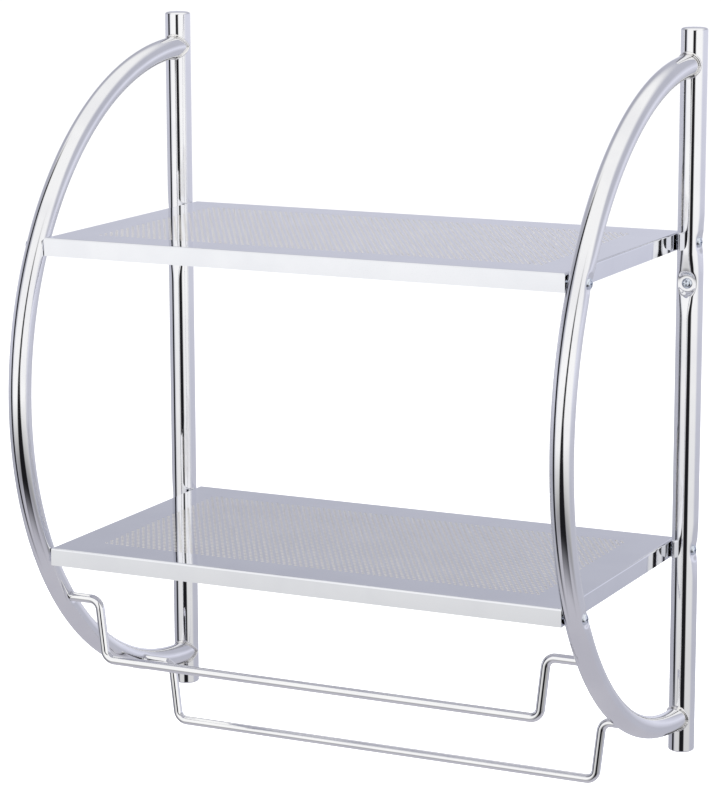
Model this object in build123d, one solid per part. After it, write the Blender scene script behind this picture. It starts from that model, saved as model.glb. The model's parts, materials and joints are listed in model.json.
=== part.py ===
from build123d import *
import os

# Wall-mounted bathroom rack: two tube side frames, two pressed trays and two hanging towel bars.
# Millimetres. +X right, +Y towards the wall, +Z up. The origin lies on the wall, midway between
# the two wall screws.

# ---------------------------------------------------------------- driving dimensions
upright_spacing = 435.0      # between the axes of the two uprights
upright_length = 555.0       # over the end plugs
upright_diameter = 20.0
upright_wall = 1.2
wall_screw_height = 365.0    # above the foot of the uprights

bow_diameter = 17.0
bow_wall = 1.2
bow_inset = 27.5             # from an upright's end to the axis of the bow's end
cope_gap = 0.1               # between a bow's coped end and the upright
weld_size = 1.6              # leg of the weld bead round a bow's end

plug_crown = 2.0             # height of the plug that shows
plug_skirt = 8.0             # depth of the plug inside the tube
plug_clearance = 0.05
plug_wall = 1.0
plug_edge = 1.5              # rounding of the crown's rim

shelf_pitch = 236.0          # between the two shelves
shelf_flange = 13.5          # overall height of a tray
sheet = 0.8
shelf_bend = 1.6             # outside radius of the folded edge
shelf_clearance = 0.3        # between a tray's side and the tubes
shelf_overhang = 8.5         # from the rear screws' centres to the tray's rear edge
shelf_inset = 3.4            # of the tray's front edge behind the bows' fronts
seam = 0.4                   # open joint between two flanges at a corner
seam_relief = 1.2            # radius of the notch at the top of a seam

rod_diameter = 7.0
rod_bend = 8.0               # centreline radius of the bends
rod_drop = 46.3              # from the pivot to the bar
rod_pivot_half = 184.2       # from the middle to the corner under a pivot
rod_lean = 5.3               # how far a leg leans inwards over its drop
rod_end_gap = 3.5            # from a bar's end to the far wall of the bow
rod_end_chamfer = 0.8
rod_clearance = 0.08         # radial, in its holes
front_bar_height = 121.0     # pivots, above the foot of the uprights
rear_bar_height = 41.7

shelf_screw_diameter = 4.0
shelf_screw_length = 22.0
shelf_screw_chamfer = 0.5
wall_screw_shank = 3.6
wall_screw_thread = 4.2
wall_screw_reach = 9.5       # thread in the wall, without the point
wall_screw_point = 4.0
wall_screw_tip = 0.3         # radius left at the point
hole_clearance = 0.25        # radial, round every screw
head_diameter = 8.0
head_height = 2.2
head_edge = 1.5              # rounding of the head's rim
cross_size = 4.4             # recess for the driver
cross_width = 0.9
cross_depth = 1.4
nut_flats = 7.0
nut_height = 3.2
thread_fit = 0.02            # radial, between a screw and its nut
nut_gap = 0.25               # between a nut's corner and the tray's front flange

upright_dimple = 3.5         # depth of the pressed seat under a screw head
bow_dimple = 1.8
pivot_dimple = 1.2
seat_radius = 4.8            # flat floor of a dimple
dimple_slope = 1.1           # run of a dimple's side for each mm of depth
overrun = 1.0                # how far a cutting tool passes a face

# ---------------------------------------------------------------- derived places
upright_radius = upright_diameter / 2
bow_outer = bow_diameter / 2
foot = -wall_screw_height
middle = foot + upright_length / 2
upright_y = -upright_radius
upright_x = upright_spacing / 2
inner_side = upright_x - upright_radius
bow_x = inner_side + bow_outer
bow_radius = upright_length / 2 - bow_inset  # of the tube's centreline, half a circle
rod_radius = rod_diameter / 2


def bow_y(height):
    """Depth of the bow's centreline at a height."""
    return upright_y - (bow_radius**2 - (height - middle) ** 2) ** 0.5


upper_middle = middle + shelf_pitch / 2
lower_middle = middle - shelf_pitch / 2
shelf_half_width = inner_side - shelf_clearance
nut_room = nut_flats / 3**0.5 + nut_gap + sheet
shelf_front = bow_y(upper_middle) - max(bow_outer - shelf_inset, nut_room)
shelf_rear = upright_y + shelf_overhang
front_pivot = (bow_y(foot + front_bar_height), foot + front_bar_height)
rear_pivot = (bow_y(foot + rear_bar_height), foot + rear_bar_height)
rod_end = bow_x + bow_outer - bow_wall - rod_end_gap


# ---------------------------------------------------------------- tools shared by the pieces
def round_bar(radius, start, direction, length):
    """Solid cylinder from a point along a direction."""
    plane = Plane(origin=start, z_dir=direction)
    return plane * Cylinder(radius, length, align=(Align.CENTER, Align.CENTER, Align.MIN))


def dimple_tool(surface_point, inward, depth, grow):
    """Frustum that presses a flat screw seat into a tube; grow is the wall left under it."""
    run = depth + upright_radius
    floor = seat_radius + grow
    mouth = floor + run * dimple_slope
    start = Vector(*surface_point) + Vector(*inward) * (depth + grow)
    plane = Plane(origin=start, z_dir=Vector(*inward) * -1)
    return plane * Cone(floor, mouth, run, align=(Align.CENTER, Align.CENTER, Align.MIN))


def mirror_side(shape):
    """The same piece on the other side of the rack."""
    return mirror(shape, about=Plane.YZ)


# ---------------------------------------------------------------- uprights and their plugs
def upright():
    """Right upright: straight tube with pressed seats for one wall screw and two shelf screws."""
    tube_foot = foot + plug_crown
    tube_length = upright_length - 2 * plug_crown
    axis_foot = (upright_x, upright_y, tube_foot)
    outside = round_bar(upright_radius, axis_foot, (0, 0, 1), tube_length)
    inside = round_bar(upright_radius - upright_wall, axis_foot, (0, 0, 1), tube_length)
    front_seat = ((upright_x, upright_y - upright_radius, 0), (0, 1, 0))
    seats = [front_seat]
    for height in (upper_middle, lower_middle):
        seats.append(((upright_x + upright_radius, upright_y, height), (-1, 0, 0)))
    for point, inward in seats:
        outside -= dimple_tool(point, inward, upright_dimple, 0)
        inside -= dimple_tool(point, inward, upright_dimple, upright_wall)
    tube = outside - inside
    for height in (upper_middle, lower_middle):
        hole = shelf_screw_diameter / 2 + hole_clearance
        start = (inner_side - overrun, upright_y, height)
        tube -= round_bar(hole, start, (1, 0, 0), upright_diameter + 2 * overrun)
    wall_hole = wall_screw_thread / 2 + hole_clearance
    start = (upright_x, overrun, 0)
    return tube - round_bar(wall_hole, start, (0, -1, 0), upright_diameter + 2 * overrun)


def end_plug(height, up):
    """Crowned steel plug pushed into one end of the right upright."""
    crown = round_bar(upright_radius, (upright_x, upright_y, height), (0, 0, up), plug_crown)
    rim = crown.edges().filter_by(GeomType.CIRCLE).sort_by(Axis.Z)[-1 if up > 0 else 0]
    crown = fillet(rim, plug_edge)
    skirt_radius = upright_radius - upright_wall - plug_clearance
    skirt = round_bar(skirt_radius, (upright_x, upright_y, height), (0, 0, -up), plug_skirt)
    bore = skirt_radius - plug_wall
    hollow = round_bar(bore, (upright_x, upright_y, height), (0, 0, -up), plug_skirt)
    return crown + (skirt - hollow)


# ---------------------------------------------------------------- bows and their welds
def bow_bar(radius):
    """Half circle of round bar on the bow's centreline."""
    foot_end = Vector(bow_x, upright_y, middle - bow_radius)
    ring = Plane(origin=foot_end, x_dir=(0, 0, -1), z_dir=(0, 1, 0)) * Circle(radius)
    axis = Axis((bow_x, upright_y, middle), (-1, 0, 0))
    return revolve(ring, axis=axis, revolution_arc=180)


def bow():
    """Right bow: bent tube, coped to the upright, with seats for screws and holes for the bars."""
    outside = bow_bar(bow_outer)
    inside = bow_bar(bow_outer - bow_wall)
    seats = []
    for height in (upper_middle, lower_middle):
        seats.append(((bow_x + bow_outer, bow_y(height), height), (-1, 0, 0), bow_dimple))
    for y, height in (front_pivot, rear_pivot):
        seats.append(((inner_side, y, height), (1, 0, 0), pivot_dimple))
    for point, inward, depth in seats:
        outside -= dimple_tool(point, inward, depth, 0)
        inside -= dimple_tool(point, inward, depth, bow_wall)
    tube = outside - inside
    for height in (upper_middle, lower_middle):
        hole = shelf_screw_diameter / 2 + hole_clearance
        start = (inner_side - overrun, bow_y(height), height)
        tube -= round_bar(hole, start, (1, 0, 0), bow_diameter + 2 * overrun)
    for y, height in (front_pivot, rear_pivot):
        start = (inner_side - overrun, y, height)
        tube -= round_bar(rod_radius + rod_clearance, start, (1, 0, 0), bow_outer)
    cope = upright_radius + cope_gap
    return tube - round_bar(cope, (upright_x, upright_y, foot), (0, 0, 1), upright_length)


def welds():
    """Two beads of weld round the ends of the right bow, following the saddle of the joint."""
    post = round_bar(upright_radius, (upright_x, upright_y, foot), (0, 0, 1), upright_length)
    reach = round_bar(upright_radius + weld_size, (upright_x, upright_y, foot), (0, 0, 1), upright_length)
    collar = bow_bar(bow_outer + weld_size) & reach
    bead = collar - bow_bar(bow_outer) - post
    return Compound(children=list(bead.solids()))


# ---------------------------------------------------------------- shelves
def shelf(centre_height):
    """Tray folded from sheet: plain top, four flanges, open corner seams, four screw holes."""
    top = centre_height + shelf_flange / 2
    width = 2 * shelf_half_width
    depth = shelf_rear - shelf_front
    place = Pos(0, (shelf_front + shelf_rear) / 2, top)
    down = (Align.CENTER, Align.CENTER, Align.MAX)
    body = Box(width, depth, shelf_flange, align=down)
    body = fillet(body.edges().filter_by(Axis.Z), shelf_bend)
    body = fillet(body.faces().sort_by(Axis.Z)[-1].edges(), shelf_bend)
    hollow = Pos(0, 0, -sheet) * Box(width - 2 * sheet, depth - 2 * sheet, shelf_flange, align=down)
    hollow = fillet(hollow.edges().filter_by(Axis.Z), shelf_bend - sheet)
    hollow = fillet(hollow.faces().sort_by(Axis.Z)[-1].edges(), shelf_bend - sheet)
    tray = body - hollow
    for side in (-1, 1):
        for end in (-1, 1):
            corner = Pos(side * width / 2, end * (depth / 2 - shelf_bend), -shelf_bend)
            tray -= corner * Box(4 * shelf_bend, seam, 2 * shelf_flange, align=down)
            tray -= corner * Rot(0, 90, 0) * Cylinder(seam_relief, 4 * shelf_bend)
    tray = place * tray
    hole = shelf_screw_diameter / 2 + hole_clearance
    for y in (bow_y(centre_height), upright_y):
        tray -= round_bar(hole, (-upright_x, y, centre_height), (1, 0, 0), upright_spacing)
    return tray


# ---------------------------------------------------------------- towel bars
def towel_bar(pivot):
    """Bent round wire: two ends on the pivot axis, two legs and the bar that carries the towel."""
    y, z = pivot
    low_half = rod_pivot_half - rod_lean
    outline = [
        (-rod_end, y, z),
        (-rod_pivot_half, y, z),
        (-low_half, y, z - rod_drop),
        (low_half, y, z - rod_drop),
        (rod_pivot_half, y, z),
        (rod_end, y, z),
    ]
    path = FilletPolyline(*outline, radius=rod_bend)
    section = Plane(origin=outline[0], z_dir=(1, 0, 0)) * Circle(rod_radius)
    bar = sweep(section, path=path)
    return chamfer(bar.faces().filter_by(GeomType.PLANE).edges(), rod_end_chamfer)


# ---------------------------------------------------------------- fasteners
def pan_head():
    """Pan head with a cross recess, its seat at the origin, facing +Z."""
    head = Cylinder(head_diameter / 2, head_height, align=(Align.CENTER, Align.CENTER, Align.MIN))
    head = fillet(head.edges().sort_by(Axis.Z)[-1], head_edge)
    slot = Box(cross_size, cross_width, 2 * cross_depth)
    cross = slot + Rot(0, 0, 90) * slot
    return head - Pos(0, 0, head_height) * cross


def shelf_screw(seat):
    """Machine screw that ties a tube to a tray's flange, from outside the right frame."""
    shank_radius = shelf_screw_diameter / 2
    shank = Cylinder(shank_radius, shelf_screw_length, align=(Align.CENTER, Align.CENTER, Align.MAX))
    shank = chamfer(shank.edges().sort_by(Axis.Z)[0], shelf_screw_chamfer)
    return Plane(origin=seat, z_dir=(1, 0, 0)) * (pan_head() + shank)


def nut(place):
    """Hexagon nut against the inner face of a tray's right flange."""
    hexagon = extrude(RegularPolygon(nut_flats / 2, 6, major_radius=False), nut_height)
    hexagon -= Cylinder(shelf_screw_diameter / 2 + thread_fit, 4 * nut_height)
    return Plane(origin=place, z_dir=(-1, 0, 0)) * hexagon


def wall_screw():
    """Wood screw through the right upright into the wall."""
    seat_depth = upright_diameter - upright_dimple
    below = (Align.CENTER, Align.CENTER, Align.MAX)
    shank = Cylinder(wall_screw_shank / 2, seat_depth, align=below)
    thread = Pos(0, 0, -seat_depth) * Cylinder(wall_screw_thread / 2, wall_screw_reach, align=below)
    point = Cone(wall_screw_tip, wall_screw_thread / 2, wall_screw_point, align=below)
    point = Pos(0, 0, -seat_depth - wall_screw_reach) * point
    screw = pan_head() + shank + thread + point
    return Plane(origin=(upright_x, -seat_depth, 0), z_dir=(0, -1, 0)) * screw


def both_sides(pieces):
    """A group of separate solids: the given right-hand ones and their mirror images."""
    return Compound(children=[copy for piece in pieces for copy in (piece, mirror_side(piece))])


def shelf_fasteners(centre_height):
    """Front screws, rear screws and nuts of one shelf."""
    front = bow_y(centre_height)
    front_screw = shelf_screw((bow_x + bow_outer - bow_dimple, front, centre_height))
    rear_screw = shelf_screw((upright_x + upright_radius - upright_dimple, upright_y, centre_height))
    flange_face = shelf_half_width - sheet
    nuts = [nut((flange_face, y, centre_height)) for y in (front, upright_y)]
    return both_sides([front_screw]), both_sides([rear_screw]), both_sides(nuts)


# ---------------------------------------------------------------- the assembly
def assembly():
    """Every node of the rack by name."""
    top_plug = end_plug(foot + upright_length - plug_crown, 1)
    foot_plug = end_plug(foot + plug_crown, -1)
    right = {
        "upright": upright(),
        "bow": bow(),
        "frame_welds": welds(),
        "top_plug": top_plug,
        "foot_plug": foot_plug,
    }
    nodes = {}
    for name, piece in right.items():
        nodes["right_" + name] = piece
        nodes["left_" + name] = mirror_side(piece)
    for level, height in (("upper", upper_middle), ("lower", lower_middle)):
        front_screws, rear_screws, nuts = shelf_fasteners(height)
        nodes[level + "_shelf"] = shelf(height)
        nodes[level + "_shelf_front_screws"] = front_screws
        nodes[level + "_shelf_rear_screws"] = rear_screws
        nodes[level + "_shelf_nuts"] = nuts
    nodes["front_towel_bar"] = towel_bar(front_pivot)
    nodes["rear_towel_bar"] = towel_bar(rear_pivot)
    nodes["wall_screws"] = both_sides([wall_screw()])
    return nodes


os.makedirs("parts", exist_ok=True)
for node_name, node_shape in assembly().items():
    export_step(node_shape, f"parts/{node_name}.step")
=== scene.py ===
import json
import math

import bmesh
import bpy
from mathutils import Matrix, Vector


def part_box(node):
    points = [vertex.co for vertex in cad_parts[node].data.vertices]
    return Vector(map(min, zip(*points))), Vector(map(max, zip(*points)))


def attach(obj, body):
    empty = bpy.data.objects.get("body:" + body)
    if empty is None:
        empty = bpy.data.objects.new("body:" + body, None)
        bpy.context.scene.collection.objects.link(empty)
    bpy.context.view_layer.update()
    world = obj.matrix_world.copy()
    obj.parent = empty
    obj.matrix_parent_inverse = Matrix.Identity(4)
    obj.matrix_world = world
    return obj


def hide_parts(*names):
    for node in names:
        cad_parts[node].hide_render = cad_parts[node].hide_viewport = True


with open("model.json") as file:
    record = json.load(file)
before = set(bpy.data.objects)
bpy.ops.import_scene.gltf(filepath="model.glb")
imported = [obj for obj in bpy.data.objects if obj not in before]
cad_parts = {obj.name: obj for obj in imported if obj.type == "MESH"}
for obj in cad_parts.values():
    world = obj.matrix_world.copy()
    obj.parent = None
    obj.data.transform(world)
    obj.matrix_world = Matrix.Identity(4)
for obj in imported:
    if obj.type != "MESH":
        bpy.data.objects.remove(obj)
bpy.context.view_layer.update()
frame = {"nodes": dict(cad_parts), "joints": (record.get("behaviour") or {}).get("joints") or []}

# ---------------------------------------------------------------- uprights
# Two straight steel tubes, bright chrome plated. Each is pressed in at three places, so that a wall
# screw in front and two shelf screws at the side sit on flat round seats.
post_low, post_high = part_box("right_upright")
post_axis = (post_low + post_high) / 2
post_radius = (post_high.x - post_low.x) / 2
post_wall = 0.0012
post_sides = 72
seat_floor = 0.0045
wall_seat_floor = 0.0060
seat_mouth = 0.0096
post_seat_depth = 0.0035
seat_margin = 0.0095
seat_ring_step = 0.001
plain_ring_step = 0.003
draw_length = 2.6
draw_width = 0.9
draw_share = 0.45
hole_sides = 32
shelf_levels = [
    (low.z + high.z) / 2
    for low, high in (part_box("lower_shelf_rear_screws"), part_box("upper_shelf_rear_screws"))
]
wall_screw_level = sum(corner.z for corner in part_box("wall_screws")) / 2


class Wire:
    """One value in a shader; arithmetic on it adds Math nodes."""

    def __init__(self, socket):
        self.socket = socket
        self.tree = socket.id_data

    def math(self, operation, first, *others):
        made = self.tree.nodes.new("ShaderNodeMath")
        made.operation = operation
        for entry, value in zip(made.inputs, (first,) + others):
            if isinstance(value, Wire):
                self.tree.links.new(value.socket, entry)
            else:
                entry.default_value = value
        return Wire(made.outputs[0])

    def __add__(self, other):
        return self.math("ADD", self, other)

    def __radd__(self, other):
        return self.math("ADD", other, self)

    def __sub__(self, other):
        return self.math("SUBTRACT", self, other)

    def __rsub__(self, other):
        return self.math("SUBTRACT", other, self)

    def __mul__(self, other):
        return self.math("MULTIPLY", self, other)

    def __rmul__(self, other):
        return self.math("MULTIPLY", other, self)

    def __abs__(self):
        return self.math("ABSOLUTE", self)


class Finish:
    """A node tree being filled, for a metal or for the studio's light."""

    def __init__(self, tree):
        self.tree = tree
        tree.nodes.clear()

    def node(self, kind, settings=None, sockets=None, output=0):
        """Adds one node: its settings first, then its sockets' values or links."""
        made = self.tree.nodes.new(kind)
        for name, value in (settings or {}).items():
            setattr(made, name, value)
        for name, value in (sockets or {}).items():
            entry = made.inputs[name]
            if isinstance(value, Wire):
                self.tree.links.new(value.socket, entry)
            elif entry.type == "RGBA":
                entry.default_value = (*value, 1.0)
            else:
                entry.default_value = value
        return Wire(made.outputs[output]) if len(made.outputs) else None

    def step(self, value, start, end):
        """Rises smoothly from 0 to 1 as value goes from start to end."""
        return self.node(
            "ShaderNodeMapRange",
            {"interpolation_type": "SMOOTHSTEP"},
            {"Value": value, "From Min": start, "From Max": end, "To Min": 0.0, "To Max": 1.0},
        )

    def inside(self, place, half_width, depths):
        """1 where a place is within half_width of the middle and between two depths."""
        edge = 0.0002
        across, along = (
            self.node("ShaderNodeSeparateXYZ", sockets={"Vector": place}, output=axis)
            for axis in ("X", "Y")
        )
        wide = self.step(abs(across), half_width + edge, half_width - edge)
        near = self.step(along, depths[0] - edge, depths[0] + edge)
        far = self.step(along, depths[1] + edge, depths[1] - edge)
        return wide * near * far

    def blend(self, share, first, second):
        """Mixes two colours; a Mix node's colours are its sockets 6 and 7, and its output 2."""
        sockets = {0: share, 6: first, 7: second}
        return self.node("ShaderNodeMix", {"data_type": "RGBA"}, sockets, output=2)


def plated_metal(
    name, bright, dull, gloss, haze, wave_size, wave_height, drawn=(1.0, 1.0, 1.0), raw=None
):
    """Polished plating: cloudy tone, hazy handling marks, fine polishing lines and slight waves."""
    cloud_size = 22.0
    cloud_range = (0.35, 0.65)
    mark_size = 95.0
    mark_range = (0.52, 0.72)
    line_size = 900.0
    line_haze = 0.4
    line_height = 0.012
    metal = bpy.data.materials.new(name)
    metal.use_nodes = True
    finish = Finish(metal.node_tree)
    place = finish.node("ShaderNodeTexCoord", output="Object")
    along = finish.node("ShaderNodeMapping", sockets={"Vector": place, "Scale": drawn})
    cloud, marks, lines, waves = (
        finish.node("ShaderNodeTexNoise", sockets={"Vector": spot, "Scale": size, "Detail": detail})
        for spot, size, detail in (
            (place, cloud_size, 3.0),
            (place, mark_size, 5.0),
            (along, line_size, 2.0),
            (along, wave_size, 1.0),
        )
    )
    handled = finish.step(marks, *mark_range)
    tone = finish.blend(finish.step(cloud, *cloud_range), dull, bright)
    roughness = gloss + handled * haze + lines * (haze * line_haze)
    metallic = 1.0
    if raw:
        raw_tone, half_width, depths = raw
        raw_roughness = 0.35
        raw_dullness = 0.4
        side_facing = (0.3, 0.1)
        facing = finish.node("ShaderNodeNewGeometry", output="True Normal")
        upward = finish.node("ShaderNodeSeparateXYZ", sockets={"Vector": facing}, output="Z")
        punched = finish.step(abs(upward), *side_facing) * finish.inside(
            place, half_width, depths
        )
        tone = finish.blend(punched, tone, raw_tone)
        roughness = roughness + punched * raw_roughness
        metallic = 1 - punched * raw_dullness
    lift = waves * wave_height + lines * (wave_height * line_height)
    relief = finish.node(
        "ShaderNodeBump", sockets={"Strength": 1.0, "Distance": 1.0, "Height": lift}
    )
    surface = finish.node(
        "ShaderNodeBsdfPrincipled",
        sockets={
            "Base Color": tone,
            "Metallic": metallic,
            "Roughness": roughness,
            "Normal": relief,
        },
    )
    finish.node("ShaderNodeOutputMaterial", sockets={"Surface": surface})
    return metal


def lengthen(bm, ring, run=(0, 0, 0), centre=(0, 0, 0), axis=(0, 0, 1), angle=0.0, steps=1):
    """Carries a ring of edges on, along run or round a bend; returns the ring it ends in."""
    done = bmesh.ops.spin(
        bm,
        geom=ring,
        cent=centre,
        axis=axis,
        dvec=Vector(run) / steps,
        angle=angle,
        steps=steps,
        use_merge=False,
        use_duplicate=False,
    )
    return done["geom_last"]


def start_ring(bm, sides, radius, place):
    """A ring of edges to draw a tube from, with its vertices."""
    made = bmesh.ops.create_circle(bm, cap_ends=False, segments=sides, radius=radius, matrix=place)
    verts = made["verts"]
    edges = {edge for vert in verts for edge in vert.link_edges}
    return verts + list(edges)


def strides(start, end, seats, margin, fine, coarse):
    """Splits a length into stretches with their step counts, short steps near each seat."""
    places = [start]
    for seat in sorted(seats):
        places += [seat - margin, seat + margin]
    places.append(end)
    stretches = []
    for i, (here, there) in enumerate(zip(places, places[1:])):
        step = fine if i % 2 else coarse
        stretches.append((there - here, max(1, math.ceil((there - here) / step))))
    return stretches


def press_seat(verts, crest, inward, along, floor, mouth, depth):
    """Presses a round, flat-floored seat into a tube, which flattens a little beside it."""
    inward = Vector(inward)
    for vert in verts:
        away = vert.co - Vector(crest)
        sunk = away.dot(inward)
        flat = away - inward * sunk
        reach = flat.length
        lengthwise = flat.dot(along)
        sideways = (flat - Vector(along) * lengthwise).length
        drawn = math.hypot(lengthwise / (mouth * draw_length), sideways / (mouth * draw_width))
        if drawn < 1 and sunk < depth * 2:
            vert.co += inward * depth * draw_share * (0.5 + 0.5 * math.cos(math.pi * drawn))
            sunk = (vert.co - Vector(crest)).dot(inward)
        if reach < mouth and sunk < depth * 2:
            rise = max(0.0, (reach - floor) / (mouth - floor))
            share = 1 - rise * rise * (3 - 2 * rise)
            vert.co += inward * max(0.0, share * (depth - sunk))


def to_left(bm):
    """Mirrors a right-hand mesh to the left side."""
    bmesh.ops.scale(bm, vec=(-1, 1, 1), verts=bm.verts)


def put_up(bm, name, metal, slot, body, *nodes, crease=35.0):
    """Turns a finished mesh into a piece of the rack."""
    bmesh.ops.remove_doubles(bm, verts=bm.verts, dist=2e-6)
    bmesh.ops.recalc_face_normals(bm, faces=bm.faces)
    mesh = bpy.data.meshes.new(name)
    bm.to_mesh(mesh)
    bm.free()
    mesh.shade_smooth()
    mesh.set_sharp_from_angle(angle=math.radians(crease))
    mesh.materials.append(metal)
    piece = bpy.data.objects.new(name, mesh)
    bpy.context.scene.collection.objects.link(piece)
    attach(piece, body)
    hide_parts(*nodes)
    return piece


def settle(piece, crease=35.0):
    """Applies a piece's modifiers, then keeps its creases sharp and its flats evenly shaded."""
    graph = bpy.context.evaluated_depsgraph_get()
    made = bpy.data.meshes.new_from_object(piece.evaluated_get(graph))
    piece.modifiers.clear()
    piece.data = made
    made.shade_smooth()
    made.set_sharp_from_angle(angle=math.radians(crease))
    even = piece.modifiers.new("even_shading", "WEIGHTED_NORMAL")
    even.keep_sharp = True


def give_wall(piece, thickness):
    """Grows a sheet inwards to its real thickness."""
    wall = piece.modifiers.new("wall", "SOLIDIFY")
    wall.thickness = thickness
    wall.offset = -1.0
    wall.use_even_offset = True
    settle(piece)


def cut_away(piece, cutter):
    """Takes a cutter's solids out of a piece."""
    mesh = bpy.data.meshes.new("cutter")
    cutter.to_mesh(mesh)
    cutter.free()
    bit = bpy.data.objects.new("cutter", mesh)
    bpy.context.scene.collection.objects.link(bit)
    piece.modifiers.clear()
    cut = piece.modifiers.new("holes", "BOOLEAN")
    cut.operation = "DIFFERENCE"
    cut.solver = "EXACT"
    cut.object = bit
    settle(piece)
    bpy.data.objects.remove(bit)


def drill(piece, holes):
    """Cuts round holes, each given by its start, direction, length and radius."""
    cutter = bmesh.new()
    for start, direction, length, radius in holes:
        turn = Vector(direction).to_track_quat("Z", "Y").to_matrix().to_4x4()
        middle = Vector(start) + Vector(direction) * length / 2
        bmesh.ops.create_cone(
            cutter,
            cap_ends=True,
            segments=hole_sides,
            radius1=radius,
            radius2=radius,
            depth=length,
            matrix=Matrix.Translation(middle) @ turn,
        )
    cut_away(piece, cutter)


tube_chrome = plated_metal(
    "chrome_tube",
    bright=(0.90, 0.90, 0.91),
    dull=(0.86, 0.86, 0.88),
    gloss=0.035,
    haze=0.05,
    wave_size=40.0,
    wave_height=0.00002,
    drawn=(1, 1, 0.15),
)
shelf_hole = 0.00225
wall_hole = 0.00235
drill_overrun = 0.002
for side, hand in (("right", 1), ("left", -1)):
    bm = bmesh.new()
    foot = Matrix.Translation((post_axis.x, post_axis.y, post_low.z))
    ring = start_ring(bm, post_sides, post_radius, foot)
    seats = [*shelf_levels, wall_screw_level]
    plan = strides(post_low.z, post_high.z, seats, seat_margin, seat_ring_step, plain_ring_step)
    for length, steps in plan:
        ring = lengthen(bm, ring, run=(0, 0, length), steps=steps)
    for level in shelf_levels:
        crest = (post_high.x, post_axis.y, level)
        sizes = (seat_floor, seat_mouth, post_seat_depth)
        press_seat(bm.verts, crest, (-1, 0, 0), (0, 0, 1), *sizes)
    crest = (post_axis.x, post_low.y, wall_screw_level)
    sizes = (wall_seat_floor, seat_mouth, post_seat_depth)
    press_seat(bm.verts, crest, (0, 1, 0), (0, 0, 1), *sizes)
    if hand < 0:
        to_left(bm)
    name = side + "_upright"
    post = put_up(bm, name + "_tube", tube_chrome, "chrome_tube", "rack", name)
    give_wall(post, post_wall)
    across = (post_radius + drill_overrun) * 2
    holes = []
    for level in shelf_levels:
        start = (hand * (post_low.x - drill_overrun), post_axis.y, level)
        holes.append((start, (hand, 0, 0), across, shelf_hole))
    start = (hand * post_axis.x, post_low.y - drill_overrun, wall_screw_level)
    holes.append((start, (0, 1, 0), across, wall_hole))
    drill(post, holes)

# ---------------------------------------------------------------- plugs
# Crowned steel plugs pushed into both ends of each upright, plated with it. Turned round the
# upright's axis: a low dome with a rounded rim, and a hollow skirt inside the tube.
crown_outline = (
    (0.0, 0.0020),
    (0.0040, 0.00193),
    (0.0070, 0.00170),
    (0.0086, 0.00135),
    (0.0095, 0.00085),
    (0.0099, 0.00035),
    (0.0100, 0.0),
    (0.00875, 0.0),
    (0.00875, -0.0078),
    (0.0085, -0.0080),
    (0.0078, -0.0080),
    (0.0078, -0.0002),
    (0.0, -0.0002),
)
for side, hand in (("right", 1), ("left", -1)):
    for end, up, level in (("top", 1, post_high.z), ("foot", -1, post_low.z)):
        bm = bmesh.new()
        corners = [bm.verts.new((radius, 0, height)) for radius, height in crown_outline]
        edges = [bm.edges.new(pair) for pair in zip(corners, corners[1:])]
        bmesh.ops.spin(
            bm,
            geom=corners + edges,
            cent=(0, 0, 0),
            axis=(0, 0, 1),
            angle=math.tau,
            steps=post_sides,
            use_merge=True,
        )
        bmesh.ops.scale(bm, vec=(1, 1, up), verts=bm.verts)
        place = Vector((hand * post_axis.x, post_axis.y, level))
        bmesh.ops.translate(bm, vec=place, verts=bm.verts)
        name = f"{side}_{end}_plug"
        put_up(bm, name + "_crown", tube_chrome, "chrome_tube", "rack", name)

# ---------------------------------------------------------------- bows
# Chromed tubes bent to half circles, their ends coped to the uprights. Screw seats are pressed in
# outside, and small dished holes inside take the towel bars' ends.
bow_low, bow_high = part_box("right_bow")
bow_radius = (bow_high.x - bow_low.x) / 2
bow_x = (bow_high.x + bow_low.x) / 2
bow_middle = (bow_high.z + bow_low.z) / 2
bend_radius = (bow_high.z - bow_low.z) / 2 - bow_radius
bow_wall = 0.0012
bow_sides = 56
bow_seat_mouth = 0.0078
bow_seat_depth = 0.0018
bar_hole = 0.00358
dish_rim = 0.0004
dish_mouth = 0.0068
dish_depth = 0.0012
seat_turn = 0.036
seat_ring_turn = 0.004
plain_ring_turn = 0.02
cope_gap = 0.0001
cope_radius = post_radius + cope_gap
pivots = [Vector(joint["pos_m"]) for joint in frame["joints"]]


def bend_angle(level):
    """Angle round the bow, from its lower end, at a height."""
    return math.acos((bow_middle - level) / bend_radius)


def bow_depth(level):
    """Depth of the bow's centreline at a height."""
    return post_axis.y - bend_radius * math.sin(bend_angle(level))


def bow_course(level):
    """Direction the bow runs in at a height."""
    return (0, -math.cos(bend_angle(level)), math.sin(bend_angle(level)))


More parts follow.
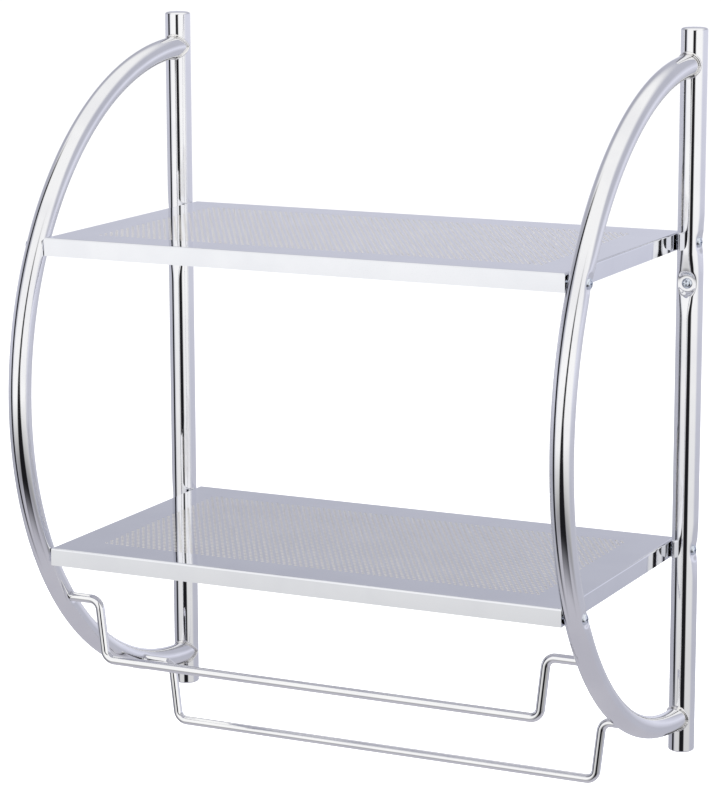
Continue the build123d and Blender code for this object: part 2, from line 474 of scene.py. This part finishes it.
bow_chrome = plated_metal(
    "chrome_bow",
    bright=(0.89, 0.89, 0.90),
    dull=(0.84, 0.84, 0.86),
    gloss=0.06,
    haze=0.05,
    wave_size=35.0,
    wave_height=0.00003,
)
end_angle = math.asin(cope_radius / bend_radius)
seat_angles = [bend_angle(level) for level in shelf_levels]
seat_angles += [bend_angle(pivot.z) for pivot in pivots]
hub = (bow_x, post_axis.y, bow_middle)
for side, hand in (("right", 1), ("left", -1)):
    bm = bmesh.new()
    foot = Matrix.Translation((bow_x, post_axis.y, bow_middle - bend_radius))
    ring = start_ring(bm, bow_sides, bow_radius, foot @ Matrix.Rotation(math.pi / 2, 4, "X"))
    lean = Matrix.Rotation(-end_angle, 3, "X")
    bmesh.ops.rotate(bm, cent=hub, matrix=lean, verts=bm.verts)
    coped = [item for item in ring if isinstance(item, bmesh.types.BMVert)]
    plan = strides(
        end_angle,
        math.pi - end_angle,
        seat_angles,
        seat_turn,
        seat_ring_turn,
        plain_ring_turn,
    )
    for angle, steps in plan:
        ring = lengthen(bm, ring, centre=hub, axis=(-1, 0, 0), angle=angle, steps=steps)
    coped += [item for item in ring if isinstance(item, bmesh.types.BMVert)]
    for vert in coped:
        offset = vert.co.x - post_axis.x
        vert.co.y = post_axis.y - math.sqrt(max(0.0, cope_radius**2 - offset**2))
    for level in shelf_levels:
        crest = (bow_high.x, bow_depth(level), level)
        sizes = (seat_floor, bow_seat_mouth, bow_seat_depth)
        press_seat(bm.verts, crest, (-1, 0, 0), bow_course(level), *sizes)
    for pivot in pivots:
        crest = (bow_low.x, pivot.y, pivot.z)
        sizes = (bar_hole + dish_rim, dish_mouth, dish_depth)
        press_seat(bm.verts, crest, (1, 0, 0), bow_course(pivot.z), *sizes)
    if hand < 0:
        to_left(bm)
    name = side + "_bow"
    bow = put_up(bm, name + "_tube", bow_chrome, "chrome_tube", "rack", name)
    give_wall(bow, bow_wall)
    holes = []
    for level in shelf_levels:
        start = (hand * (bow_low.x - drill_overrun), bow_depth(level), level)
        holes.append((start, (hand, 0, 0), (bow_radius + drill_overrun) * 2, shelf_hole))
    for pivot in pivots:
        start = (hand * (bow_low.x - drill_overrun), pivot.y, pivot.z)
        holes.append((start, (hand, 0, 0), bow_radius, bar_hole))
    drill(bow, holes)

# ---------------------------------------------------------------- welds
# A small bead of weld round each end of a bow, following the saddle where it meets the upright,
# with the faint ripples of a hand-laid bead under the plating.
bead_offset = 0.0006
bead_path = bow_radius + bead_offset
bead_size = 0.0011
bead_sides = 12
bead_steps = 96
ripples = ((34, 0.04), (13, 0.03))
bead_chrome = plated_metal(
    "weld",
    bright=(0.89, 0.88, 0.87),
    dull=(0.85, 0.84, 0.83),
    gloss=0.14,
    haze=0.08,
    wave_size=120.0,
    wave_height=0.00003,
)
for side, hand in (("right", 1), ("left", -1)):
    bm = bmesh.new()
    for up in (-1, 1):
        centre = Vector((bow_x, 0, bow_middle + up * bend_radius))
        start = Matrix.Translation(centre + Vector((bead_path, 0, 0)))
        ring = start_ring(bm, bead_sides, bead_size, start)
        known = set(bm.verts) - {item for item in ring if isinstance(item, bmesh.types.BMVert)}
        bmesh.ops.spin(
            bm,
            geom=ring,
            cent=centre,
            axis=(0, 1, 0),
            angle=math.tau,
            steps=bead_steps,
            use_merge=True,
        )
        for vert in set(bm.verts) - known:
            arm = vert.co - centre
            offset = bow_x + bead_path * arm.x / math.hypot(arm.x, arm.z) - post_axis.x
            turn = math.atan2(arm.z, arm.x)
            ripple = 1 + sum(height * math.sin(count * turn) for count, height in ripples)
            saddle = math.sqrt(max(0.0, (cope_radius + bead_offset) ** 2 - offset**2))
            across = Vector((arm.x, 0, arm.z)).normalized() * bead_path
            vert.co = centre + across + (vert.co - centre - across) * ripple
            vert.co.y += post_axis.y - saddle
    if hand < 0:
        to_left(bm)
    name = side + "_frame_welds"
    put_up(bm, name.replace("welds", "beads"), bead_chrome, "weld", "rack", name)

# ---------------------------------------------------------------- shelves
# Two trays folded from thin sheet: a top with a plain border and a field of small punched holes in
# staggered rows, rolled edges, and four flanges that meet at the corners.
sheet = 0.0008
edge_roll = 0.0016
hole_pitch = 0.0046
row_pitch = hole_pitch * math.sin(math.radians(60))
hole_size = 0.00126
punch_sides = 8
border = 0.0295
raw_margin = 0.004
shelf_low, shelf_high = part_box("upper_shelf")
inset = border - raw_margin
sheet_chrome = plated_metal(
    "chrome_sheet",
    bright=(0.86, 0.87, 0.90),
    dull=(0.83, 0.84, 0.875),
    gloss=0.03,
    haze=0.04,
    wave_size=14.0,
    wave_height=0.00004,
    raw=(
        (0.72, 0.70, 0.67),
        shelf_high.x - inset,
        (shelf_low.y + inset, shelf_high.y - inset),
    ),
)


def perforated_field(bm, low, high):
    """Fills a rectangle with six-sided cells, each round one hole; returns its outer edges."""
    columns = int((high.x - low.x) / hole_pitch)
    rows = int((high.y - low.y) / row_pitch)
    first = Vector(((low.x + high.x - columns * hole_pitch) / 2, 0, high.z))
    first.y = (low.y + high.y - rows * row_pitch) / 2
    place = Matrix.Translation(first)
    outer = start_ring(bm, 6, hole_pitch / math.sqrt(3), place)
    sides = [
        item
        for item in outer
        if isinstance(item, bmesh.types.BMEdge)
        and abs(item.verts[0].co.x - item.verts[1].co.x) < hole_pitch * 0.1
    ]
    bmesh.ops.subdivide_edges(bm, edges=sides, cuts=1)
    rim = list(bm.edges)
    punched = start_ring(bm, punch_sides, hole_size, place)
    rim += [item for item in punched if isinstance(item, bmesh.types.BMEdge)]
    bmesh.ops.bridge_loops(bm, edges=rim)
    cell = list(bm.verts) + list(bm.edges) + list(bm.faces)
    line = list(cell)
    for column in range(1, columns + 1):
        copy = bmesh.ops.duplicate(bm, geom=cell)["geom"]
        verts = [item for item in copy if isinstance(item, bmesh.types.BMVert)]
        bmesh.ops.translate(bm, vec=(column * hole_pitch, 0, 0), verts=verts)
        line += copy
    short = line[: len(line) - len(cell)]
    for row in range(1, rows + 1):
        copy = bmesh.ops.duplicate(bm, geom=short if row % 2 else line)["geom"]
        verts = [item for item in copy if isinstance(item, bmesh.types.BMVert)]
        shift = (hole_pitch / 2 * (row % 2), row * row_pitch, 0)
        bmesh.ops.translate(bm, vec=shift, verts=verts)
    bmesh.ops.remove_doubles(bm, verts=bm.verts, dist=hole_pitch * 0.01)
    longest_hole_edge = hole_size * 0.8
    return [
        edge for edge in bm.edges if edge.is_boundary and edge.calc_length() >= longest_hole_edge
    ]


for level in ("upper", "lower"):
    name = level + "_shelf"
    low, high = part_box(name)
    bm = bmesh.new()
    field_low = Vector((low.x + border, low.y + border, high.z))
    field_high = Vector((high.x - border, high.y - border, high.z))
    edge_loop = perforated_field(bm, field_low, field_high)
    field_faces = set(bm.faces)
    size = high - low
    tray = bmesh.ops.create_cube(bm, size=1.0)["verts"]
    bmesh.ops.scale(bm, vec=size, verts=tray)
    bmesh.ops.translate(bm, vec=(low + high) / 2, verts=tray)
    open_side = [face for face in set(bm.faces) - field_faces if face.normal.z < -0.9]
    bmesh.ops.delete(bm, geom=open_side, context="FACES_ONLY")
    folds = {
        edge
        for vert in tray
        for edge in vert.link_edges
        if all(end.co.z > high.z - size.z / 2 for end in edge.verts)
    }
    bmesh.ops.bevel(
        bm,
        geom=list(folds),
        offset=edge_roll,
        offset_type="OFFSET",
        affect="EDGES",
        segments=5,
        profile=0.5,
        material=-1,
    )
    bm.normal_update()
    shell = set(bm.faces) - field_faces
    tops = [face for face in shell if face.normal.z > 0.999]
    frame_edges = {edge for face in tops for edge in face.edges}
    bmesh.ops.delete(bm, geom=tops, context="FACES_ONLY")
    bmesh.ops.triangle_fill(
        bm,
        use_beauty=True,
        use_dissolve=False,
        edges=list(frame_edges) + edge_loop,
        normal=(0, 0, 1),
    )
    bmesh.ops.remove_doubles(bm, verts=bm.verts, dist=1e-6)
    piece = put_up(bm, name + "_tray", sheet_chrome, "chrome_sheet", "rack", name)
    give_wall(piece, sheet)

# ---------------------------------------------------------------- towel bars
# Bent steel wire, chromed: two ends that turn in the bows' holes, two legs that lean inwards and
# the long bar that carries the towel. Each hangs from its own pair of holes and swings.
wire_radius = 0.0035
wire_bend = 0.008
wire_sides = 36
bend_steps = 14
tip_bevel = 0.0008
leg_lean = 0.0053
pivot_corner = 0.1842
wire_chrome = plated_metal(
    "chrome_wire",
    bright=(0.92, 0.92, 0.92),
    dull=(0.88, 0.88, 0.89),
    gloss=0.04,
    haze=0.05,
    wave_size=60.0,
    wave_height=0.00002,
    drawn=(0.2, 1, 1),
)
for name, body in (("front_towel_bar", "front_bar"), ("rear_towel_bar", "rear_bar")):
    low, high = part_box(name)
    top = high.z - wire_radius
    bottom = low.z + wire_radius
    depth = (low.y + high.y) / 2
    drop = top - bottom
    turn = math.atan2(drop, leg_lean)
    set_back = wire_bend * math.tan(turn / 2)
    bm = bmesh.new()
    tip = Matrix.Translation((low.x, depth, top)) @ Matrix.Rotation(math.pi / 2, 4, "Y")
    ring = start_ring(bm, wire_sides, wire_radius, tip)
    first_edges = [item for item in ring if isinstance(item, bmesh.types.BMEdge)]
    corners = [
        Vector((-pivot_corner, depth, top)),
        Vector((-pivot_corner + leg_lean, depth, bottom)),
        Vector((pivot_corner - leg_lean, depth, bottom)),
        Vector((pivot_corner, depth, top)),
    ]
    here = Vector((low.x, depth, top))
    ahead = corners[1:] + [Vector((high.x, depth, top))]
    for corner, onward, sense in zip(corners, ahead, (1, -1, -1, 1)):
        heading = (corner - here).normalized()
        stop = corner - heading * set_back
        ring = lengthen(bm, ring, run=stop - here, steps=2)
        axis = Vector((0, sense, 0))
        centre = stop + axis.cross(heading) * wire_bend
        ring = lengthen(bm, ring, centre=centre, axis=axis, angle=turn, steps=bend_steps)
        here = corner + (onward - corner).normalized() * set_back
    ring = lengthen(bm, ring, run=Vector((high.x, depth, top)) - here, steps=2)
    last_edges = [item for item in ring if isinstance(item, bmesh.types.BMEdge)]
    bmesh.ops.holes_fill(bm, edges=first_edges + last_edges, sides=0)
    bmesh.ops.bevel(
        bm,
        geom=first_edges + last_edges,
        offset=tip_bevel,
        offset_type="OFFSET",
        affect="EDGES",
        segments=3,
        profile=0.5,
        material=-1,
    )
    put_up(bm, name + "_wire", wire_chrome, "chrome_wire", body, name)

# ---------------------------------------------------------------- screws and nuts
# Pan-head machine screws with a cross recess hold the shelves, with nuts inside the flanges; wood
# screws hold the rack to the wall. All are bright zinc plated, a little bluer than the chrome.
zinc = plated_metal(
    "zinc_screw",
    bright=(0.80, 0.84, 0.90),
    dull=(0.72, 0.77, 0.84),
    gloss=0.14,
    haze=0.08,
    wave_size=300.0,
    wave_height=0.00001,
)
head_height = 0.0022
head_outline = (
    (0.0, head_height),
    (0.0015, 0.00216),
    (0.0025, 0.00200),
    (0.0032, 0.00172),
    (0.0037, 0.00125),
    (0.0040, 0.00060),
    (0.0040, 0.0),
)
cross_length = 0.0044
cross_width = 0.0009
cross_depth = 0.0014
screw_sides = 40


def screw_outline(shank, plain, length, crest, root, pitch, tip):
    """Half the outline of a screw, from the middle of its head to its end, with thread ridges."""
    root_place = 0.15
    crest_place = 0.55
    outline = [*head_outline, (shank, 0.0), (shank, -plain)]
    ridges = int((length - tip - plain) / pitch)
    for ridge in range(ridges):
        depth = plain + ridge * pitch
        outline.append((root, -depth - pitch * root_place))
        outline.append((crest, -depth - pitch * crest_place))
    return outline + [(root, tip - length), (0.0, -length)]


def turn_screws(name, outline, places):
    """Turns a group of screws and sinks a cross recess into each head."""
    bm = bmesh.new()
    frames = []
    for seat, outward in places:
        aim = Vector(outward).to_track_quat("Z", "Y").to_matrix().to_4x4()
        place = Matrix.Translation(seat) @ aim
        known = set(bm.verts)
        corners = [bm.verts.new((radius, 0, height)) for radius, height in outline]
        edges = [bm.edges.new(pair) for pair in zip(corners, corners[1:])]
        bmesh.ops.spin(
            bm,
            geom=corners + edges,
            cent=(0, 0, 0),
            axis=(0, 0, 1),
            angle=math.tau,
            steps=screw_sides,
            use_merge=True,
        )
        bmesh.ops.transform(bm, matrix=place, verts=list(set(bm.verts) - known))
        frames.append(place @ Matrix.Translation((0, 0, head_height)))
    piece = put_up(bm, name + "_turned", zinc, "zinc_screw", "rack", name)
    for across, along in ((cross_length, cross_width), (cross_width, cross_length)):
        cutter = bmesh.new()
        for top in frames:
            size = Matrix.Diagonal((across, along, cross_depth * 2, 1.0))
            bmesh.ops.create_cube(cutter, size=1.0, matrix=top @ size)
        cut_away(piece, cutter)


low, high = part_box("wall_screws")
seat_depth = low.y + head_height
outline = screw_outline(
    shank=0.0018,
    plain=post_high.y - seat_depth,
    length=high.y - seat_depth,
    crest=0.0021,
    root=0.0014,
    pitch=0.0016,
    tip=0.004,
)
places = [((hand * post_axis.x, seat_depth, wall_screw_level), (0, -1, 0)) for hand in (1, -1)]
turn_screws("wall_screws", outline, places)
outline = screw_outline(
    shank=0.00185, plain=0.004, length=0.022, crest=0.002, root=0.00165, pitch=0.0007, tip=0.0005
)
for name in [name for name in frame["nodes"] if "shelf" in name and "screws" in name]:
    low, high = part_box(name)
    middle = (low + high) / 2
    seat = high.x - head_height
    places = [((hand * seat, middle.y, middle.z), (hand, 0, 0)) for hand in (1, -1)]
    turn_screws(name, outline, places)

for name in [name for name in frame["nodes"] if "nuts" in name]:
    node = frame["nodes"][name]
    node.data.materials.clear()
    node.data.materials.append(zinc)

# ---------------------------------------------------------------- studio
# Plain pale floor far below the rack, one broad soft lamp, and a light tent whose panels show in
# the chrome: white in front, lavender grey behind, with a dark gap in front and one at the left.
floor_level = -0.95
floor_size = 40.0
bm = bmesh.new()
bmesh.ops.create_grid(bm, x_segments=1, y_segments=1, size=floor_size)
bmesh.ops.translate(bm, vec=(0, 0, floor_level), verts=bm.verts)
floor_mesh = bpy.data.meshes.new("floor")
bm.to_mesh(floor_mesh)
bm.free()
floor = bpy.data.objects.new("floor", floor_mesh)
bpy.context.scene.collection.objects.link(floor)
floor.visible_glossy = False
paint = bpy.data.materials.new("pale_floor")
paint.use_nodes = True
finish = Finish(paint.node_tree)
spread = finish.node("ShaderNodeTexCoord", output="Object")
grain = finish.node("ShaderNodeTexNoise", sockets={"Vector": spread, "Scale": 2.0, "Detail": 4.0})
surface = finish.node(
    "ShaderNodeBsdfPrincipled",
    sockets={
        "Base Color": finish.blend(grain, (0.93, 0.93, 0.93), (0.96, 0.96, 0.96)),
        "Roughness": 0.9,
    },
)
finish.node("ShaderNodeOutputMaterial", sockets={"Surface": surface})
floor_mesh.materials.append(paint)

camera_place = (0.95482, -2.10495, 0.34603)
camera_azimuth = math.radians(25.7552)
camera_pitch = math.radians(11.156)
camera_roll = math.radians(-0.1409)

tent = bpy.data.worlds.new("light_tent")
bpy.context.scene.world = tent
tent.use_nodes = True
studio = Finish(tent.node_tree)
# Angles are in degrees. A bearing is 0 towards the camera and grows to its right; a rise is 0 at
# the level and grows upwards.
front_edge = (58.0, 82.0)
front_white = 1.04
front_dimming = 0.034
front_dims_from = 8.0
back_grey = 0.765
back_dimming = 0.0175
back_darkest = 0.50
back_sides = (-0.22, 0.22)
back_dim_side = 0.93
back_side_gain = 0.16
back_tone = (0.965, 0.98, 1.12)
white = (1.0, 1.0, 1.0)
soft_white = (1.15, 1.15, 1.15)
ground_grey = (0.53, 0.525, 0.585)
gap_black = (0.012, 0.012, 0.014)
roof_edge = (22.0, 44.0)
roof_drop_behind = 9.0
ground_edge = (-24.0, -42.0)
gap_softness = 5.0
gap_foot = (-60.0, -34.0)
camera_gap_bearing = -5.0
camera_gap_lean = 0.5
camera_gap_half = 9.3
camera_gap_spread = 0.6
camera_gap_taper = 0.1
camera_gap_top = (52.0, 24.0)
side_gap_bearing = -86.0
side_gap_lean = 0.4
side_gap_half = 10.5
side_gap_top = (62.0, 44.0)
ray = studio.node("ShaderNodeTexCoord", output="Generated")
east, north, up = (
    studio.node("ShaderNodeSeparateXYZ", sockets={"Vector": ray}, output=axis) for axis in "XYZ"
)
forward = east * math.sin(camera_azimuth) + north * -math.cos(camera_azimuth)
rightward = east * math.cos(camera_azimuth) + north * math.sin(camera_azimuth)
bearing = forward.math("ARCTAN2", rightward, forward) * (180 / math.pi)
rise = up.math("ARCSINE", up) * (180 / math.pi)
fall = rise.math("MINIMUM", rise, 0.0) * -1.0


def gap(centre, half):
    """1 outside a dark gap between two panels of the tent, 0 inside it."""
    return studio.step(abs(bearing - centre) - half, -gap_softness, gap_softness)


# The front panel dims downwards. The back panel dims away from level and brightens to the right.
behind = studio.step(abs(bearing), *front_edge)
front_level = front_white - fall.math("MAXIMUM", fall - front_dims_from, 0.0) * front_dimming
rightness = studio.step(rightward, *back_sides) * back_side_gain + back_dim_side
back_level = rise.math("MAXIMUM", back_grey - abs(rise) * back_dimming, back_darkest) * rightness
front_tint = studio.node(
    "ShaderNodeCombineColor",
    sockets={"Red": front_level, "Green": front_level, "Blue": front_level},
)
back_tint = studio.node(
    "ShaderNodeCombineColor",
    sockets={
        colour: back_level * share for colour, share in zip(("Red", "Green", "Blue"), back_tone)
    },
)
walls = studio.blend(behind, front_tint, back_tint)
# One dark gap is on the camera's side and one at the left; both lean and fade as they climb.
climb = rise.math("MAXIMUM", rise, 0.0)
camera_gap = gap(
    climb * camera_gap_lean + camera_gap_bearing,
    fall * camera_gap_spread + camera_gap_half - climb * camera_gap_taper,
)
side_gap = gap(side_gap_bearing - climb * side_gap_lean, side_gap_half)
camera_gap = 1 - (1 - camera_gap) * studio.step(rise, *camera_gap_top)
side_gap = 1 - (1 - side_gap) * studio.step(rise, *side_gap_top)
# White roof, grey ground.
overhead = studio.step(rise - behind * roof_drop_behind, *roof_edge)
walls = studio.blend(overhead, walls, white)
walls = studio.blend(studio.step(rise, *ground_edge), walls, ground_grey)
dark = 1 - (1 - camera_gap * side_gap) * studio.step(rise, *gap_foot)
walls = studio.blend(dark, gap_black, walls)
seen = studio.node("ShaderNodeLightPath", output="Is Camera Ray")
walls = studio.blend(seen, walls, white)
scattered = studio.node("ShaderNodeLightPath", output="Is Diffuse Ray")
walls = studio.blend(scattered, walls, soft_white)
light = studio.node("ShaderNodeBackground", sockets={"Color": walls, "Strength": 1.0})
studio.node("ShaderNodeOutputWorld", sockets={"Surface": light})

lamp = bpy.data.lights.new("soft_lamp", "AREA")
lamp.size = 4.0
lamp.energy = 260.0
lamp_object = bpy.data.objects.new("soft_lamp", lamp)
lamp_object.location = (0.0, -0.6, 3.0)
lamp_object.visible_glossy = False
bpy.context.scene.collection.objects.link(lamp_object)

camera_data = bpy.data.cameras.new("camera")
camera_data.sensor_width = 36.0
camera_data.lens = 134.32
camera = bpy.data.objects.new("camera", camera_data)
aim = Matrix.Rotation(camera_azimuth, 4, "Z") @ Matrix.Rotation(math.pi / 2 - camera_pitch, 4, "X")
roll = Matrix.Rotation(camera_roll, 4, "Z")
camera.matrix_world = Matrix.Translation(camera_place) @ aim @ roll
bpy.context.scene.collection.objects.link(camera)
bpy.context.scene.camera = camera
bpy.context.scene.view_settings.view_transform = "Standard"
